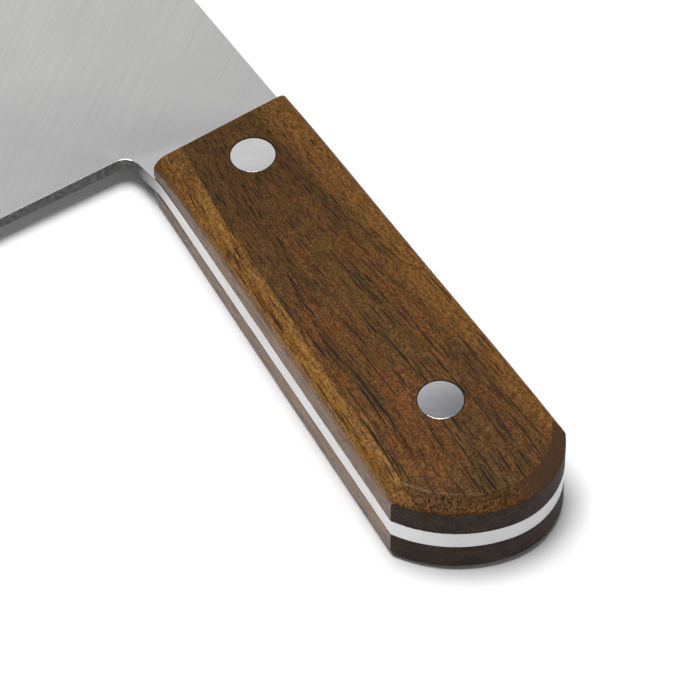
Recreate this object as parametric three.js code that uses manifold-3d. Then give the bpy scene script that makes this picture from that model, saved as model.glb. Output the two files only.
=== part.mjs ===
// A meat cleaver: one steel plate that is both the blade and the full tang, two wooden handle
// scales, and two two-piece cutler's rivets that clamp the scales to the tang.
//
// Millimetres, +Z up, lying on its side. +X runs from the blade to the butt of the handle, +Y from
// the cutting edge to the spine. While the pieces are drawn, x = 0 is the front of the scales,
// y = 0 the blade's spine and z = 0 the middle of the plate. The last lines move the whole
// cleaver so that its origin is the centre of the bottom of its box.

import * as THREE from 'three';
import { mergeVertices } from 'three/addons/utils/BufferGeometryUtils.js';
import Module from 'manifold-3d';

const wasm = await Module();
wasm.setup();

// Blade
const BLADE_LENGTH = 195;
const BLADE_WIDTH = 90;
const SPINE_THICKNESS = 4.5;
const SHOULDER_THICKNESS = 2.7;
const EDGE_THICKNESS = 0.4;
const BEVEL_WIDTH = 6;
const EDGE_BELLY = 3.5;
const TIP_SPINE_RADIUS = 7;
const TIP_EDGE_RADIUS = 3;
const HEEL_RADIUS = 1.5;

// Heel and neck, in front of the handle
const HEEL_SETBACK = 7.7;
const HEEL_LEAN = THREE.MathUtils.degToRad(1.8);
const NOTCH_RADIUS = 3.6;
const NECK_DROP = 1.6;
const NECK_END = 2;

// Hanging hole, near the far end of the spine
const HANG_DIAMETER = 12;
const HANG_INSET = 17;

// Handle outline, shared by the tang and the scales
const HANDLE_LENGTH = 115.4;
const TANG_THICKNESS = 4.6;
const GRIND_RUNOUT = 20;
const FRONT_WIDTH = 32.9;
const SPINE_SIDE_TAPER = 0.0235;
const WAIST_DEPTH = 0.45;
const WAIST_START = 4;
const WAIST_END = 96;
const EDGE_SIDE_FLARE = 0.0833;
const FRONT_FLARE = 0.25;
const FRONT_FLARE_LENGTH = 10;
const BUTT_EDGE_RADIUS = 28.9;
const BUTT_SPINE_RADIUS = 17.7;
const BUTT_SPINE_CENTRE_Y = -18;
const BUTT_JOIN = THREE.MathUtils.degToRad(-10.3);

// Scales
const GLUE_LINE = 0.15;
const FRONT_HEIGHT = 5.1;
const CREST_HEIGHT = 8.4;
const CREST_X = 86;
const REST_LAND = 14;
const EDGE_ROUND_WIDTH = 3.2;
const EDGE_ROUND_AT_FRONT = 2;
const EDGE_ROUND_GROWTH = 0.4;
const EDGE_ROUND_FLARE = 0.9;
const SPINE_ROUND = 1.9;
const CHAMFER_START = 6.8;
const CHAMFER_INSET = 4.2;
const CHAMFER_OVERRUN = 1.05;
const CHAMFER_SLIDE = 0.5;

// Rivets
const RIVET_PLACES = { front: [10.8, -15.3], rear: [86.3, -19.4] };
const HEAD_DIAMETER = 9.5;
const BARREL_DIAMETER = 6;
const PIN_DIAMETER = 3.6;
const BARREL_BORE = 4;
const HEAD_SEAT = 2.6;
const RIVET_CLEARANCE = 0.2;
const BARREL_WALL_ABOVE_BORE = 1.5;

const TANG_HALF = TANG_THICKNESS / 2;
const SEAT = TANG_HALF + GLUE_LINE;
const TIP_X = -HEEL_SETBACK - BLADE_LENGTH;
const BUTT_SPINE_CENTRE = [HANDLE_LENGTH - BUTT_SPINE_RADIUS, BUTT_SPINE_CENTRE_Y];
const BUTT_EDGE_CENTRE = slid(BUTT_SPINE_CENTRE, BUTT_EDGE_RADIUS - BUTT_SPINE_RADIUS);
const ARC_STEPS = 12;
const FILLET_STEPS = 6;
const ROUND_STEPS = 4;
const STATIONS = 14;
const RUNOUT_STEPS = 4;
const FLARE_STEPS = 4;
const WAIST_STEPS = 16;
const ROUND_SIDES = 48;
const BEYOND = 20;
const OVERHANG = 1;
const MERGE_TOLERANCE = 1e-4;

const steel = { color: 0xb6b8b9, roughness: 0.34, metalness: 1 };
const walnut = { color: 0x7b4b28, roughness: 0.55, metalness: 0 };
const rivetSteel = { color: 0xc9cacd, roughness: 0.3, metalness: 1 };

// ---- solids ------------------------------------------------------------------------------

function toSolid(geometry) {
  const bare = geometry.clone();
  bare.deleteAttribute('normal');
  bare.deleteAttribute('uv');
  const merged = mergeVertices(bare, MERGE_TOLERANCE);
  return new wasm.Manifold(new wasm.Mesh({
    numProp: 3,
    vertProperties: new Float32Array(merged.attributes.position.array),
    triVerts: new Uint32Array(merged.index.array),
  }));
}

function toGeometry(solid) {
  const mesh = solid.getMesh();
  const geometry = new THREE.BufferGeometry();
  geometry.setAttribute('position', new THREE.BufferAttribute(mesh.vertProperties, 3));
  geometry.setIndex(new THREE.BufferAttribute(mesh.triVerts, 1));
  geometry.computeVertexNormals();
  return geometry;
}

// A closed skin through rings of equal length, each a list of [x, y, z]. The rings turn
// anticlockwise when they are looked at from the last ring towards the first.
function loft(rings) {
  const count = rings[0].length;
  const positions = rings.flat(2);
  const index = [];
  for (let r = 0; r + 1 < rings.length; r += 1) {
    for (let i = 0; i < count; i += 1) {
      const next = (i + 1) % count;
      const a = r * count + i;
      const b = r * count + next;
      index.push(a, b, b + count, a, b + count, a + count);
    }
  }
  const ring = rings[0].map(flatten(rings[0]));
  const last = (rings.length - 1) * count;
  for (const [a, b, c] of THREE.ShapeUtils.triangulateShape(ring, [])) {
    index.push(c, b, a, last + a, last + b, last + c);
  }
  const geometry = new THREE.BufferGeometry();
  geometry.setAttribute('position', new THREE.Float32BufferAttribute(positions, 3));
  geometry.setIndex(index);
  return geometry;
}

// Rings lie across x or across z. This gives the two coordinates that vary within a ring.
function flatten(ring) {
  const acrossX = ring.every((point) => point[0] === ring[0][0]);
  return acrossX
    ? (point) => new THREE.Vector2(point[1], point[2])
    : (point) => new THREE.Vector2(point[0], point[1]);
}

// A prism on an outline in the xy plane, from z = bottom to z = top.
function prism(outline, bottom, top) {
  return loft([bottom, top].map((z) => outline.map(([x, y]) => [x, y, z])));
}

function disc(x, y, diameter, bottom, top) {
  const outline = [];
  for (let i = 0; i < ROUND_SIDES; i += 1) {
    const turn = (2 * Math.PI * i) / ROUND_SIDES;
    outline.push([x + (diameter / 2) * Math.cos(turn), y + (diameter / 2) * Math.sin(turn)]);
  }
  return toSolid(prism(outline, bottom, top));
}

function mirrorInZ(geometry) {
  const mirrored = geometry.clone();
  mirrored.scale(1, 1, -1);
  const index = mirrored.index.array;
  for (let i = 0; i < index.length; i += 3) {
    [index[i], index[i + 1]] = [index[i + 1], index[i]];
  }
  mirrored.computeVertexNormals();
  return mirrored;
}

// ---- outlines ----------------------------------------------------------------------------

// The spine side tapers, with a slight waist.
function spineSide(x) {
  const along = (2 * (x - WAIST_START)) / (WAIST_END - WAIST_START) - 1;
  const waist = WAIST_DEPTH * Math.max(1 - along ** 2, 0) ** 2;
  return -SPINE_SIDE_TAPER * x - waist;
}

// The edge side is straight, apart from a short flare into the neck: 1 at the front, 0 behind it.
const frontFlare = (x) => (1 - THREE.MathUtils.clamp(x / FRONT_FLARE_LENGTH, 0, 1)) ** 2;
const edgeSide = (x) => -FRONT_WIDTH - EDGE_SIDE_FLARE * x - FRONT_FLARE * frontFlare(x);

function arc(centre, radius, from, to, steps = ARC_STEPS) {
  const points = [];
  for (let i = 0; i <= steps; i += 1) {
    const turn = from + ((to - from) * i) / steps;
    points.push([centre[0] + radius * Math.cos(turn), centre[1] + radius * Math.sin(turn)]);
  }
  return points;
}

// Two lines meet at corner. This rounds the corner with an arc that touches both.
function fillet(before, corner, after, radius, steps = FILLET_STEPS) {
  const c = new THREE.Vector2(...corner);
  const u = new THREE.Vector2(...before).sub(c).normalize();
  const v = new THREE.Vector2(...after).sub(c).normalize();
  const half = Math.acos(u.dot(v)) / 2;
  const centre = c.clone().addScaledVector(u.clone().add(v).normalize(), radius / Math.sin(half));
  const start = c.clone().addScaledVector(u, radius / Math.tan(half)).sub(centre).angle();
  const end = c.clone().addScaledVector(v, radius / Math.tan(half)).sub(centre).angle();
  const sweep = THREE.MathUtils.euclideanModulo(end - start + Math.PI, 2 * Math.PI) - Math.PI;
  return arc([centre.x, centre.y], radius, start, start + sweep, steps);
}

// A centre moved forward, along the radius that the butt's two arcs share.
function slid(centre, distance) {
  return [centre[0] - distance * Math.cos(BUTT_JOIN), centre[1] - distance * Math.sin(BUTT_JOIN)];
}

// Where the butt's tighter arc meets the spine side, as a turn about the arc's centre.
function spineCorner() {
  const [x, y] = BUTT_SPINE_CENTRE;
  const reach = BUTT_SPINE_RADIUS * Math.hypot(1, SPINE_SIDE_TAPER);
  return Math.asin((-y - SPINE_SIDE_TAPER * x) / reach) - Math.atan(SPINE_SIDE_TAPER);
}

// The butt: a large arc from the edge side runs into a tighter one, which meets the spine side at
// a corner. For the chamfer, inset shrinks the large arc. It partly shrinks the tight arc and
// partly slides it forward, so the chamfer narrows towards the spine side.
function buttOutline(inset, end) {
  const radius = BUTT_EDGE_RADIUS - inset;
  const slope = EDGE_SIDE_FLARE;
  const rise = edgeSide(BUTT_EDGE_CENTRE[0]) - BUTT_EDGE_CENTRE[1];
  const stretch = 1 + slope ** 2;
  const run = (slope * rise + Math.sqrt(stretch * radius ** 2 - rise ** 2)) / stretch;
  const edgeCorner = Math.atan2(rise - slope * run, run);
  const slide = CHAMFER_SLIDE * inset;
  const large = arc(BUTT_EDGE_CENTRE, radius, edgeCorner, BUTT_JOIN, 2 * ARC_STEPS);
  const centre = slid(BUTT_SPINE_CENTRE, slide);
  const small = arc(centre, BUTT_SPINE_RADIUS - inset + slide, BUTT_JOIN, end);
  return [...large, ...small.slice(1)];
}

const edgeLine = (x) => {
  const across = (x - TIP_X) / (BLADE_LENGTH / 2) - 1;
  return -BLADE_WIDTH + EDGE_BELLY * across ** 2;
};

function plateOutline() {
  const heelAt = (y) => -HEEL_SETBACK + Math.tan(HEEL_LEAN) * (y + FRONT_WIDTH);
  const heelX = heelAt(-BLADE_WIDTH + EDGE_BELLY);
  const heelCorner = [heelX, edgeLine(heelX)];
  const notchCorner = [heelAt(-FRONT_WIDTH - NECK_DROP), -FRONT_WIDTH - NECK_DROP];
  const neckEnd = [NECK_END, edgeSide(NECK_END)];
  const flare = [];
  for (let i = 1; i <= FLARE_STEPS; i += 1) {
    const x = THREE.MathUtils.lerp(NECK_END, FRONT_FLARE_LENGTH, i / FLARE_STEPS);
    flare.push([x, edgeSide(x)]);
  }
  const waist = [];
  for (let i = 0; i <= WAIST_STEPS; i += 1) {
    const x = THREE.MathUtils.lerp(WAIST_END, WAIST_START, i / WAIST_STEPS);
    waist.push([x, spineSide(x)]);
  }
  const tipEdge = [TIP_X, edgeLine(TIP_X)];
  const tipSpine = [TIP_X, 0];
  const edge = [];
  for (let i = 1; i < 2 * ARC_STEPS; i += 1) {
    const x = TIP_X + (heelX - TIP_X) * (i / (2 * ARC_STEPS));
    edge.push([x, edgeLine(x)]);
  }
  return [
    ...fillet([0, 0], tipSpine, tipEdge, TIP_SPINE_RADIUS),
    ...fillet(tipSpine, tipEdge, edge[0], TIP_EDGE_RADIUS),
    ...edge,
    ...fillet(edge.at(-1), heelCorner, notchCorner, HEEL_RADIUS),
    ...fillet(heelCorner, notchCorner, neckEnd, NOTCH_RADIUS),
    neckEnd,
    ...flare,
    ...buttOutline(0, spineCorner()),
    ...waist,
    [0, 0],
  ];
}

// ---- blade and tang ----------------------------------------------------------------------

// Half of the plate's thickness at a place. The blade's faces run straight from the spine to
// the shoulder of the edge bevel, and run out into the flat tang under the front of the scales.
function bladeHalf(y) {
  const share = -y / (BLADE_WIDTH - BEVEL_WIDTH);
  return THREE.MathUtils.lerp(SPINE_THICKNESS, SHOULDER_THICKNESS, share) / 2;
}

function plateRing(x) {
  const runout = THREE.MathUtils.clamp(x / GRIND_RUNOUT, 0, 1);
  const half = (y) => THREE.MathUtils.lerp(bladeHalf(y), TANG_HALF, runout);
  const edge = edgeLine(Math.min(x, -HEEL_SETBACK));
  const edgeHalf = THREE.MathUtils.lerp(EDGE_THICKNESS / 2, TANG_HALF, runout);
  const faces = [OVERHANG, -FRONT_WIDTH / 2, -FRONT_WIDTH, edge + BEVEL_WIDTH];
  const upper = [
    ...faces.map((y) => [y, half(y)]),
    [edge, edgeHalf],
    [edge - OVERHANG, edgeHalf],
  ];
  const lower = upper.map(([y, z]) => [y, -z]).reverse();
  return [...lower, ...upper].map(([y, z]) => [x, y, z]);
}

function bladeAndTang() {
  const stations = [];
  for (let i = 0; i <= STATIONS; i += 1) {
    stations.push(THREE.MathUtils.lerp(TIP_X - OVERHANG, 0, i / STATIONS));
  }
  for (let i = 1; i <= RUNOUT_STEPS; i += 1) {
    stations.push((GRIND_RUNOUT * i) / RUNOUT_STEPS);
  }
  stations.push(HANDLE_LENGTH + OVERHANG);
  const ground = toSolid(loft(stations.map(plateRing)));
  let plate = toSolid(prism(plateOutline(), -BEYOND, BEYOND)).intersect(ground);
  for (const [x, y] of Object.values(RIVET_PLACES)) {
    const hole = BARREL_DIAMETER + 2 * RIVET_CLEARANCE;
    plate = plate.subtract(disc(x, y, hole, -BEYOND, BEYOND));
  }
  return plate.subtract(disc(TIP_X + HANG_INSET, -HANG_INSET, HANG_DIAMETER, -BEYOND, BEYOND));
}

// ---- scales ------------------------------------------------------------------------------

// Height of a scale above the tang: thin at the blade, thickest over the rear rivet, where a
// short land is flat.
function scaleHeight(x) {
  const offset = Math.abs(x - CREST_X) - REST_LAND / 2;
  const share = Math.max(offset, 0) / (CREST_X - REST_LAND / 2);
  return CREST_HEIGHT - (CREST_HEIGHT - FRONT_HEIGHT) * share ** 2;
}

function scaleRing(x) {
  const low = edgeSide(x);
  const high = spineSide(x);
  const height = scaleHeight(x);
  const top = TANG_HALF + height;
  const growth = EDGE_ROUND_GROWTH * (height - FRONT_HEIGHT) + EDGE_ROUND_FLARE * frontFlare(x);
  const drop = EDGE_ROUND_AT_FRONT + growth;
  const ring = [[low, SEAT], [high, SEAT]];
  for (let i = 0; i <= ROUND_STEPS; i += 1) {
    const turn = ((Math.PI / 2) * i) / ROUND_STEPS;
    const inset = SPINE_ROUND * (1 - Math.cos(turn));
    ring.push([high - inset, top - SPINE_ROUND * (1 - Math.sin(turn))]);
  }
  for (let i = ROUND_STEPS; i >= 0; i -= 1) {
    const turn = ((Math.PI / 2) * i) / ROUND_STEPS;
    const inset = EDGE_ROUND_WIDTH * (1 - Math.cos(turn));
    ring.push([low + inset, top - drop * (1 - Math.sin(turn))]);
  }
  return ring.map(([y, z]) => [x, y, z]);
}

// The shape of one scale before it is drilled: the long profile with its rounded sides, cut to
// the butt's arc and its chamfer.
function scaleBlank() {
  const stations = [];
  const landStart = CREST_X - REST_LAND / 2;
  for (let i = 0; i < FLARE_STEPS; i += 1) {
    stations.push((FRONT_FLARE_LENGTH * i) / FLARE_STEPS);
  }
  for (let i = 0; i <= STATIONS; i += 1) {
    stations.push(THREE.MathUtils.lerp(FRONT_FLARE_LENGTH, landStart, i / STATIONS));
  }
  for (let x = CREST_X + REST_LAND / 2; x < HANDLE_LENGTH + BEYOND; x += REST_LAND / 2) {
    stations.push(x);
  }
  const profile = toSolid(loft(stations.map(scaleRing)));
  const rise = CREST_HEIGHT - CHAMFER_START;
  const levels = [
    [-BEYOND, 0],
    [TANG_HALF + CHAMFER_START, 0],
    [TANG_HALF + CHAMFER_START + CHAMFER_OVERRUN * rise, CHAMFER_OVERRUN * CHAMFER_INSET],
  ];
  const rings = levels.map(([z, inset]) => {
    const butt = buttOutline(inset, Math.PI / 2);
    const beside = edgeSide(0) - BEYOND;
    const front = [[-OVERHANG, BEYOND], [-OVERHANG, beside], [butt[0][0], beside]];
    const back = [[butt.at(-1)[0], BEYOND]];
    return [...front, ...butt, ...back].map(([x, y]) => [x, y, z]);
  });
  return profile.intersect(toSolid(loft(rings)));
}

function drilledScale(blank) {
  let scale = blank;
  for (const [x, y] of Object.values(RIVET_PLACES)) {
    const hole = BARREL_DIAMETER + 2 * RIVET_CLEARANCE;
    const counterbore = HEAD_DIAMETER + 2 * RIVET_CLEARANCE;
    scale = scale.subtract(disc(x, y, hole, 0, BEYOND));
    scale = scale.subtract(disc(x, y, counterbore, TANG_HALF + HEAD_SEAT, BEYOND));
  }
  return scale;
}

// ---- rivets ------------------------------------------------------------------------------

// Each head is ground flush with its scale, so the blank of the scale also trims the head.
function rivetHead(blank, x, y) {
  const seat = TANG_HALF + HEAD_SEAT + RIVET_CLEARANCE;
  return disc(x, y, HEAD_DIAMETER, seat, BEYOND).intersect(blank);
}

function rivetBarrel(blank, x, y) {
  const boreTop = TANG_HALF + HEAD_SEAT + RIVET_CLEARANCE - BARREL_WALL_ABOVE_BORE;
  const end = -TANG_HALF - HEAD_SEAT;
  const seat = TANG_HALF + HEAD_SEAT + 2 * RIVET_CLEARANCE;
  return rivetHead(blank, x, y)
    .add(disc(x, y, BARREL_DIAMETER, end, seat))
    .subtract(disc(x, y, BARREL_BORE, -BEYOND, boreTop));
}

// Drawn head up, as the barrel is, and turned over afterwards.
function rivetPin(blank, x, y) {
  const seat = TANG_HALF + HEAD_SEAT + 2 * RIVET_CLEARANCE;
  const reach = BARREL_WALL_ABOVE_BORE + 3 * RIVET_CLEARANCE - TANG_HALF - HEAD_SEAT;
  return rivetHead(blank, x, y).add(disc(x, y, PIN_DIAMETER, reach, seat));
}

// ---- assembly ----------------------------------------------------------------------------

const cleaver = new THREE.Group();

function addPiece(name, geometry, look) {
  const piece = new THREE.Mesh(geometry, new THREE.MeshStandardMaterial(look));
  piece.name = name;
  cleaver.add(piece);
}

const blank = scaleBlank();
const scale = toGeometry(drilledScale(blank));

addPiece('blade_and_tang', toGeometry(bladeAndTang()), steel);
addPiece('upper_scale', scale, walnut);
addPiece('lower_scale', mirrorInZ(scale), walnut);
for (const [place, [x, y]] of Object.entries(RIVET_PLACES)) {
  addPiece(`${place}_rivet_barrel`, toGeometry(rivetBarrel(blank, x, y)), rivetSteel);
  addPiece(`${place}_rivet_pin`, mirrorInZ(toGeometry(rivetPin(blank, x, y))), rivetSteel);
}

cleaver.position.set(
  -(TIP_X + HANDLE_LENGTH) / 2,
  BLADE_WIDTH / 2,
  TANG_HALF + CREST_HEIGHT,
);

export default cleaver;
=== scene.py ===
"""Looks for a meat cleaver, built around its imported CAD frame.

The cleaver is drawn in millimetres, lying on its side, in the frame that its CAD drawing uses:
x = 0 is the front of the handle scales, y = 0 the blade's spine and z = 0 the middle of the plate.
+X runs towards the butt, +Y from the cutting edge to the spine. row() turns a drawn point into the
row frame in metres. Every visible piece is a fine mesh that stands for one CAD node.
"""

import math

import bmesh
import bpy
from mathutils import Euler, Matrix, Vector
from mathutils.geometry import delaunay_2d_cdt


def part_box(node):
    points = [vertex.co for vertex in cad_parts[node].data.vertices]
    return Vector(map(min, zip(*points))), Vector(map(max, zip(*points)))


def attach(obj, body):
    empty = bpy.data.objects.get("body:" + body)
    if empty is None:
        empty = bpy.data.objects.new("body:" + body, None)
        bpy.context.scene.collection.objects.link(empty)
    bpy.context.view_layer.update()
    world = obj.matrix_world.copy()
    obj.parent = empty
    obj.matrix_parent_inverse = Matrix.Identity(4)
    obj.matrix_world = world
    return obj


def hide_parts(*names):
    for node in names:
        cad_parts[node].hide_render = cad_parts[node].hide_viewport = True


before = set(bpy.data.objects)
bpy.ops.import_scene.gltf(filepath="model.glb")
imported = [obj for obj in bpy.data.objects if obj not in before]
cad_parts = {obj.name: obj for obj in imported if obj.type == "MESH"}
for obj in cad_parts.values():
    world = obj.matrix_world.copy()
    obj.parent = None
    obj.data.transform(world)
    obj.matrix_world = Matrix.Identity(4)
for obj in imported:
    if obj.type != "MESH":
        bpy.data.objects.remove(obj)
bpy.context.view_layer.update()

# ---- sizes from the frame ----------------------------------------------------------------

MM = 0.001
plate_low, plate_high = [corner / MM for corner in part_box("blade_and_tang")]
scale_low, scale_high = [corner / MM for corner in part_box("upper_scale")]
ORIGIN = Vector((scale_low.x, plate_high.y, (plate_low.z + plate_high.z) / 2))

BLADE_WIDTH = plate_high.y - plate_low.y
TANG_HALF = (plate_high.z - plate_low.z) / 2
TIP_X = plate_low.x - ORIGIN.x
HANDLE_LENGTH = scale_high.x - scale_low.x
SEAT = scale_low.z - ORIGIN.z
CREST_HEIGHT = scale_high.z - ORIGIN.z - TANG_HALF

# ---- sizes that the frame's boxes don't give ----------------------------------------------

# Blade
SPINE_THICKNESS = 4.5
SHOULDER_THICKNESS = 2.7
EDGE_THICKNESS = 0.4
BEVEL_WIDTH = 6
EDGE_BELLY = 3.5
TIP_SPINE_RADIUS = 7
TIP_EDGE_RADIUS = 3
HEEL_RADIUS = 1.5
BREAK_WIDTH = 0.26
BREAK_DROP = 0.2
MOST_BREAK_SHARE = 0.4
TANG_BREAK_WIDTH = 0.1
TANG_BREAK_DROP = 0.08
TANG_BREAK_START = -4

# Heel and neck
HEEL_SETBACK = 7.7
HEEL_LEAN = math.radians(1.8)
NOTCH_RADIUS = 3.6
NECK_DROP = 1.6
NECK_END = 2
GRIND_RUNOUT = 20
HEEL_CLEAN_START = -8
HEEL_CLEAN_END = 10
HEEL_WALL_MARGIN = 1
NOTCH_WALL_MARGIN = 2

# Hanging hole
HANG_DIAMETER = 12
HANG_INSET = 17

# Handle outline
FRONT_WIDTH = 32.9
SPINE_SIDE_TAPER = 0.0235
WAIST_DEPTH = 0.45
WAIST_START = 4
WAIST_END = 96
EDGE_SIDE_FLARE = 0.0833
FRONT_FLARE = 0.25
FRONT_FLARE_LENGTH = 10
BUTT_EDGE_RADIUS = 28.9
BUTT_SPINE_RADIUS = 17.7
BUTT_SPINE_CENTRE_Y = -18
BUTT_JOIN = math.radians(-10.3)
SHARED_RADIUS = Vector((math.cos(BUTT_JOIN), math.sin(BUTT_JOIN)))
BUTT_SPINE_CENTRE = Vector((HANDLE_LENGTH - BUTT_SPINE_RADIUS, BUTT_SPINE_CENTRE_Y))
BUTT_EDGE_CENTRE = BUTT_SPINE_CENTRE - SHARED_RADIUS * (BUTT_EDGE_RADIUS - BUTT_SPINE_RADIUS)

# Scales
FRONT_HEIGHT = 5.1
CREST_X = 86
REST_LAND = 14
EDGE_ROUND_WIDTH = 3.2
EDGE_ROUND_AT_FRONT = 2
EDGE_ROUND_GROWTH = 0.4
EDGE_ROUND_FLARE = 0.9
SPINE_ROUND = 1.9
FRONT_ARRIS = (0.5, 0.35)
FRONT_CORNER_RADIUS = 0.25
CHAMFER_START = 6.8
CHAMFER_INSET = 4.2
CHAMFER_REACH = 4.6
CHAMFER_SOFTNESS = 0.14
BUTT_ARRIS = (0.4, 0.3)
SEAM_BREAK = 0.12

# Rivets
RIVET_PLACES = ("front", "rear")
HEAD_DIAMETER = 9.5
BARREL_DIAMETER = 6
PIN_DIAMETER = 3.6
BARREL_BORE = 4
HEAD_SEAT = 2.6
RIVET_CLEARANCE = 0.2
BARREL_WALL_ABOVE_BORE = 1.5
HEAD_DOME = 0.12
HEAD_RIM = 0.03

# Material slots, in the order of the looks that make_plate and make_scale are given
FACES, BEVEL, EDGES, HEEL_WALL = range(4)
BROAD_FACE, END_WALL, LONG_SIDE, CHAMFER = range(4)

# Mesh density
ARC_STEPS = 32
FLARE_STEPS = 8
WAIST_STEPS = 32
BREAK_STEPS = 4
ROUND_STEPS = 9
SPACING = 0.55
RIVET_SIDES = 96
SHARP_ANGLE = math.radians(28)
PLATE_SHARP_ANGLE = math.radians(9)

# Parts of a face's normal that tell its kind: a wall's rises less than WALL_RISE, a level face's
# more than FLAT_RISE. The rest tell a scale's butt wall, long sides and chamfer.
WALL_RISE = 0.3
FLAT_RISE = 0.9
BUTT_FACING = 0.12
SIDE_FACING = 0.8
CHAMFER_FACING = 0.1
CHAMFER_TILT = 0.25


def row(x, y, z):
    """A drawn point, in millimetres, in the row frame, in metres."""
    return (Vector((x, y, z)) + ORIGIN) * MM


def lerp(a, b, share):
    return a + (b - a) * share


def clamp(value, low=0.0, high=1.0):
    return max(low, min(high, value))


# ---- outlines ----------------------------------------------------------------------------


def spine_side(x):
    """The spine side tapers, with a slight waist."""
    along = 2 * (x - WAIST_START) / (WAIST_END - WAIST_START) - 1
    return -SPINE_SIDE_TAPER * x - WAIST_DEPTH * max(1 - along**2, 0) ** 2


def front_flare(x):
    """The edge side's short flare into the neck: 1 at the front, 0 behind it."""
    return (1 - clamp(x / FRONT_FLARE_LENGTH)) ** 2


def edge_side(x):
    return -FRONT_WIDTH - EDGE_SIDE_FLARE * x - FRONT_FLARE * front_flare(x)


def edge_line(x):
    """The cutting edge, which has a slight belly."""
    across = 2 * (x - TIP_X) / (-HEEL_SETBACK - TIP_X) - 1
    return -BLADE_WIDTH + EDGE_BELLY * across**2


def heel_at(y):
    """The heel's straight side, which leans a little."""
    return -HEEL_SETBACK + math.tan(HEEL_LEAN) * (y + FRONT_WIDTH)


def arc(centre, radius, start, end, steps=ARC_STEPS):
    turns = [lerp(start, end, i / steps) for i in range(steps + 1)]
    return [(centre[0] + radius * math.cos(t), centre[1] + radius * math.sin(t)) for t in turns]


def fillet(before, corner, after, radius):
    """The corner between two lines, rounded by an arc that touches both."""
    corner = Vector(corner)
    u = (Vector(before) - corner).normalized()
    v = (Vector(after) - corner).normalized()
    half = u.angle(v) / 2
    centre = corner + (u + v).normalized() * (radius / math.sin(half))
    first = corner + u * (radius / math.tan(half)) - centre
    last = corner + v * (radius / math.tan(half)) - centre
    start = math.atan2(first.y, first.x)
    sweep = math.remainder(math.atan2(last.y, last.x) - start, 2 * math.pi)
    return arc(centre, radius, start, start + sweep, ARC_STEPS // 2)


def butt_point(inset, share):
    """A point of the butt's curve, from the edge side (0) to the spine side (1). A large arc runs
    into a tighter one. inset shrinks the large arc. Half of it shrinks the tight arc and half
    slides it forward, so the chamfer narrows towards the spine side."""
    radius = BUTT_EDGE_RADIUS - inset
    rise = edge_side(BUTT_EDGE_CENTRE.x) - BUTT_EDGE_CENTRE.y
    stretch = 1 + EDGE_SIDE_FLARE**2
    run = (EDGE_SIDE_FLARE * rise + math.sqrt(stretch * radius**2 - rise**2)) / stretch
    edge_corner = math.atan2(rise - EDGE_SIDE_FLARE * run, run)
    tight_radius = BUTT_SPINE_RADIUS - inset / 2
    tight_centre = BUTT_SPINE_CENTRE - SHARED_RADIUS * inset / 2
    climb = -tight_centre.y - SPINE_SIDE_TAPER * tight_centre.x
    reach = tight_radius * math.hypot(1, SPINE_SIDE_TAPER)
    spine_corner = math.asin(min(climb / reach, 1)) - math.atan(SPINE_SIDE_TAPER)
    large = (BUTT_JOIN - edge_corner) * radius
    along = share * (large + (spine_corner - BUTT_JOIN) * tight_radius)
    if along < large:
        centre, turn = BUTT_EDGE_CENTRE, edge_corner + along / radius
    else:
        centre, radius, turn = tight_centre, tight_radius, BUTT_JOIN + (along - large) / tight_radius
    return centre.x + radius * math.cos(turn), centre.y + radius * math.sin(turn)


def offset_loop(points, inset_at):
    """The loop moved to its left, by inset_at(x) at each point."""
    moved = []
    for i, point in enumerate(points):
        before = Vector(point) - Vector(points[i - 1])
        after = Vector(points[(i + 1) % len(points)]) - Vector(point)
        left = Vector((-before.y, before.x)).normalized()
        right = Vector((-after.y, after.x)).normalized()
        step = (left + right) * (inset_at(point[0]) / (1 + left.dot(right)))
        moved.append((point[0] + step.x, point[1] + step.y))
    return moved


def without_repeats(points, nearest=1e-3):
    kept = []
    for point in points:
        if all((Vector(point) - Vector(other)).length > nearest for other in (kept[-1:] + kept[:1])):
            kept.append(point)
    return kept


# ---- meshes ------------------------------------------------------------------------------


def make_piece(name, points, faces, materials, finish=None, sharp=SHARP_ANGLE):
    """A mesh object through drawn points. finish(centre, normal) picks a face's material."""
    mesh = bpy.data.meshes.new(name)
    mesh.from_pydata([row(*point) for point in points], [], faces)
    for material in materials:
        mesh.materials.append(material)
    piece = bpy.data.objects.new(name, mesh)
    bpy.context.scene.collection.objects.link(piece)
    finish_mesh(mesh, finish, sharp)
    return piece


def finish_mesh(mesh, finish=None, sharp=SHARP_ANGLE):
    """Turns the faces outwards, gives them their materials and smooths all but the sharp edges."""
    shape = bmesh.new()
    shape.from_mesh(mesh)
    bmesh.ops.recalc_face_normals(shape, faces=shape.faces)
    for face in shape.faces:
        face.smooth = True
        if finish:
            centre = face.calc_center_median() / MM - ORIGIN
            face.material_index = finish(centre, face.normal)
    shape.to_mesh(mesh)
    shape.free()
    mesh.set_sharp_from_angle(angle=sharp)


def mirrored(points):
    return [(x, y, -z) for x, y, z in points]


def strip_faces(first, second):
    """The quads between two closed rows of vertex numbers."""
    count = len(first)
    following = [(i + 1) % count for i in range(count)]
    return [(first[i], first[j], second[j], second[i]) for i, j in enumerate(following)]


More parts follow.
